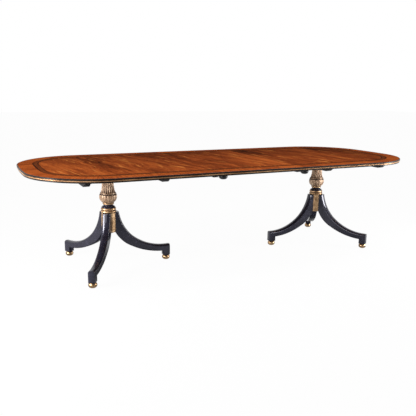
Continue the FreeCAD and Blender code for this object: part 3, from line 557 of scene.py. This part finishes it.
def carved_bowl(angle, radius, height):
    """The bowl's lobes: full at their middle, cut in between, scalloped at the shoulder."""
    edge = cell_place(angle, LOBES)
    crown = math.sqrt(1 - (LOBE_SHARE * edge) ** 2)
    below_rim = 1 - smooth_step(*BOWL_RIM, height)
    body = smooth_step(*LOBE_RISE, height) * below_rim
    top = smooth_step(*SCALLOP_RISE, height) * below_rim
    sunk = LOBE_DEPTH * (1 - crown) * body
    drop = SCALLOP_DROP * edge**3 * top
    groove = smooth_step(*GROOVE_RISE, height)
    foot = 1 - smooth_step(*FOOT_FALL, height)
    # How dark the spot is painted: painted shade and glazing in the cuts between lobes, in the groove and
    # at the foot.
    hollow = max((1 - crown) ** 1.3 * body * 0.95, groove, foot * 0.7)
    return radius - sunk, height - drop, hollow


def carved_neck(angle, radius, height):
    """The neck's flutes: round scoops with rounded ends, parted by narrow fillets."""
    edge = cell_place(angle, FLUTES)
    rise = min(max((height - FLUTE_BOTTOM) / FLUTE_FOOT, 0.0), 1.0)
    fall = min(max((FLUTE_TOP - height) / FLUTE_HEAD, 0.0), 1.0)
    reach = FLUTE_SHARE * math.sqrt(max(1 - (1 - min(rise, fall)) ** 2, 0.0))
    scoop = math.sqrt(max(1 - (edge / reach) ** 2, 0.0)) if reach > 0.01 else 0.0
    # Painted shade and glazing in the flutes, darker towards their bottom ends, and in the quirk at the
    # neck's base.
    quirk = 1 - smooth_step(0.0, QUIRK_HALF, abs(height - NECK_BASE[1]))
    shade = 0.50 + 0.25 * (1 - smooth_step(*SHADE_FALL, height))
    return radius - FLUTE_DEPTH * scoop, height, max(scoop * shade, quirk * 0.6)


def bowl_line():
    line = [(0.0385, BOWL_BASE), (0.0420, 0.4843), (0.0420, 0.4868)]
    line += arc_points((0.0420, 0.4870), BOWL_BULGE, 0.0420, 1, 22)
    line += arc_points(BOWL_BULGE, BOWL_SHOULDER, 0.0700, 1, 14)
    return line + [(0.0560, 0.5468), (0.0560, BOWL_TOP)]


def neck_line():
    line = [(0.0550, BOWL_TOP), (0.0578, 0.5520), (0.0580, 0.5530), (0.0580, 0.5560), (0.0576, 0.5570)]
    line += [(0.0530, 0.5576), NECK_BASE]
    line += arc_points(NECK_BASE, NECK_WAIST, 0.230, -1, 24)
    rise = (NECK_THROAT[1] - NECK_WAIST[1]) / NECK_STEPS
    line += [(NECK_WAIST[0], NECK_WAIST[1] + rise * step) for step in range(1, NECK_STEPS + 1)]
    line += arc_points(NECK_THROAT, NECK_HEAD, 0.060, -1, 14)
    return line + [(0.0580, 0.6835), (0.0580, 0.6926), (0.0576, NECK_TOP)]


def turned_mesh(name, line, carve, count):
    """A closed mesh of an upright line turned about an axis, carved, with a bore for the rod."""
    outline = [*line, (BORE_RADIUS, line[-1][1]), (BORE_RADIUS, line[0][1])]
    points = []
    hollows = []
    for number, (radius, height) in enumerate(outline):
        for step in range(count):
            angle = 2 * math.pi * step / count
            spot = carve(angle, radius, height) if number < len(line) else (radius, height, 0.0)
            points.append((spot[0] * math.cos(angle), spot[0] * math.sin(angle), spot[1]))
            hollows.append(spot[2])
    faces = []
    rings = len(outline)
    for level in range(rings):
        for step in range(count):
            following = (step + 1) % count
            above = (level + 1) % rings
            faces.append((level * count + step, level * count + following,
                          above * count + following, above * count + step))
    mesh = bpy.data.meshes.new(name)
    mesh.from_pydata(points, [], faces)
    mesh.attributes.new("hollow", "FLOAT", "POINT").data.foreach_set("value", hollows)
    mesh.shade_smooth()
    mesh.set_sharp_from_angle(angle=SHARP_ANGLE)
    return mesh


def carved_urns():
    """Finer urns in the place of the plain ones."""
    for side, heading in HEADINGS.items():
        for part, line, carve, count in (
            ("urn_bowl", bowl_line(), carved_bowl, LOBES * LOBE_STEPS),
            ("urn_neck", neck_line(), carved_neck, FLUTES * FLUTE_STEPS),
        ):
            node = f"{side}_{part}"
            mesh = turned_mesh(f"{node}_carved", line, carve, count)
            mesh.transform(Matrix.Translation((PEDESTAL_X * heading, 0.0, 0.0)))
            mesh.materials.append(finishes["carved_gilt"])
            piece = bpy.data.objects.new(f"{node}_carved", mesh)
            scene.collection.objects.link(piece)
            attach(piece, f"{side}_half")
            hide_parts(node)


# Light, floor and camera
FLOOR_REACH = 30.0
FLOOR_WHITE = 0.97
FLOOR_MATT = 0.80
CAMERA_PLACE = (-1.88881, -3.64835, 1.26811)

# Lamps: name, place, the point that it faces, width, height and power
LAMPS = (
    ("key", (0.1, -0.75, 2.3), (0.1, -0.75, 0.7), 2.8, 0.4, 22),
    ("side", (-2.95, -0.42, 0.95), (-0.97, -0.1, 0.40), 0.6, 1.3, 70),
    ("low", (-2.7, -1.8, 0.72), (-0.97, -0.2, 0.45), 0.9, 1.4, 17),
    ("fill", (2.4, -3.0, 0.65), (0.3, -0.1, 0.4), 0.4, 1.2, 15),
    ("right", (2.3, -1.15, 0.52), (0.4, -0.1, 0.38), 0.6, 1.0, 40),
)


def mirrored_ray(net, path):
    """1 for a ray that comes by way of a shiny surface, otherwise 0."""
    return net.math("MAXIMUM", path["Is Glossy Ray"], path["Is Transmission Ray"])


def studio_world():
    """White for the camera, a dim sky for the light, and a room that is darker in front for reflections."""
    world = bpy.data.worlds.new("studio")
    world.use_nodes = True
    net = Net(world.node_tree)
    path = net.add("LightPath", {}).outputs
    _, ahead, height = net.axes(net.add("TexCoord", {}).outputs["Generated"])
    sky = net.stretch(height, 0.0, 0.75, 0.16, 0.42)
    backdrop = net.stretch(ahead, -0.75, -0.15, 0.25, 0.80)
    mirrored = mirrored_ray(net, path)
    unseen = net.add("Mix", {0: mirrored, 2: sky, 3: backdrop}).outputs[0]
    strength = net.math("MAXIMUM", unseen, path["Is Camera Ray"])
    background = world.node_tree.nodes["Background"]
    background.inputs["Color"].default_value = grey(1.0)
    net.feed(background.inputs["Strength"], strength)
    scene.world = world


def studio_floor():
    """White for the camera, and for reflections a floor with a painted shadow under the pedestals and
    painted shade towards the front.
    """
    mesh = bpy.data.meshes.new("floor")
    far = FLOOR_REACH
    mesh.from_pydata([(-far, -far, 0), (far, -far, 0), (far, far, 0), (-far, far, 0)], [], [(0, 1, 2, 3)])
    floor = bpy.data.objects.new("floor", mesh)
    scene.collection.objects.link(floor)
    material = bpy.data.materials.new("floor_white")
    material.use_nodes = True
    net = Net(material.node_tree)
    path = net.add("LightPath", {}).outputs
    mirrored = mirrored_ray(net, path)
    across, ahead, _ = net.axes(net.place())
    # Painted shade for reflections: the floor is darker towards the front and in a painted shadow round
    # each pedestal.
    room = net.stretch(ahead, -1.3, -0.2, 0.38, 0.85)
    beside = net.math("SUBTRACT", net.math("ABSOLUTE", across), PEDESTAL_X)
    shadow = net.stretch(net.length(beside, ahead), 0.25, 0.65, 0.12, 1.0)
    backdrop = net.math("MULTIPLY", room, shadow)
    strength = net.add("Mix", {0: mirrored, 2: 1.0, 3: backdrop}).outputs[0]
    share = net.math("MAXIMUM", net.math("MULTIPLY", path["Is Camera Ray"], FLOOR_WHITE), mirrored)
    matt = net.add("BsdfDiffuse", {"Color": grey(FLOOR_MATT)}).outputs[0]
    white = net.add("Emission", {"Color": grey(1.0), "Strength": strength}).outputs[0]
    output = material.node_tree.nodes["Material Output"]
    net.feed(output.inputs["Surface"], net.add("MixShader", {0: share, 1: matt, 2: white}).outputs[0])
    mesh.materials.append(material)


def soft_box(name, place, target, width, height, power):
    data = bpy.data.lights.new(name, "AREA")
    data.shape = "RECTANGLE"
    data.size = width
    data.size_y = height
    data.energy = power
    lamp = bpy.data.objects.new(name, data)
    lamp.location = place
    lamp.rotation_euler = (Vector(target) - Vector(place)).to_track_quat("-Z", "Y").to_euler()
    scene.collection.objects.link(lamp)


def photo_camera():
    """The camera fitted to the photo."""
    yaw, pitch, roll = 0.45074, 0.2172, -0.01223
    focal_pixels = 521.86
    frame_pixels = 416
    forward = Vector((math.sin(yaw) * math.cos(pitch), math.cos(yaw) * math.cos(pitch), -math.sin(pitch)))
    level = Vector((math.cos(yaw), -math.sin(yaw), 0.0))
    down = forward.cross(level)
    right = math.cos(roll) * level + math.sin(roll) * down
    below = math.cos(roll) * down - math.sin(roll) * level
    data = bpy.data.cameras.new("photo_camera")
    data.sensor_width = 36.0
    data.lens = focal_pixels * data.sensor_width / frame_pixels
    camera = bpy.data.objects.new("photo_camera", data)
    turn = Matrix((right, -below, -forward)).transposed().to_4x4()
    camera.matrix_world = Matrix.Translation(CAMERA_PLACE) @ turn
    scene.collection.objects.link(camera)
    scene.camera = camera


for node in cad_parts.values():
    for slot in node.material_slots:
        slot.material = finishes[slot.material.name.split(".")[0]]

carved_urns()
studio_world()
studio_floor()
for lamp in LAMPS:
    soft_box(*lamp)
photo_camera()
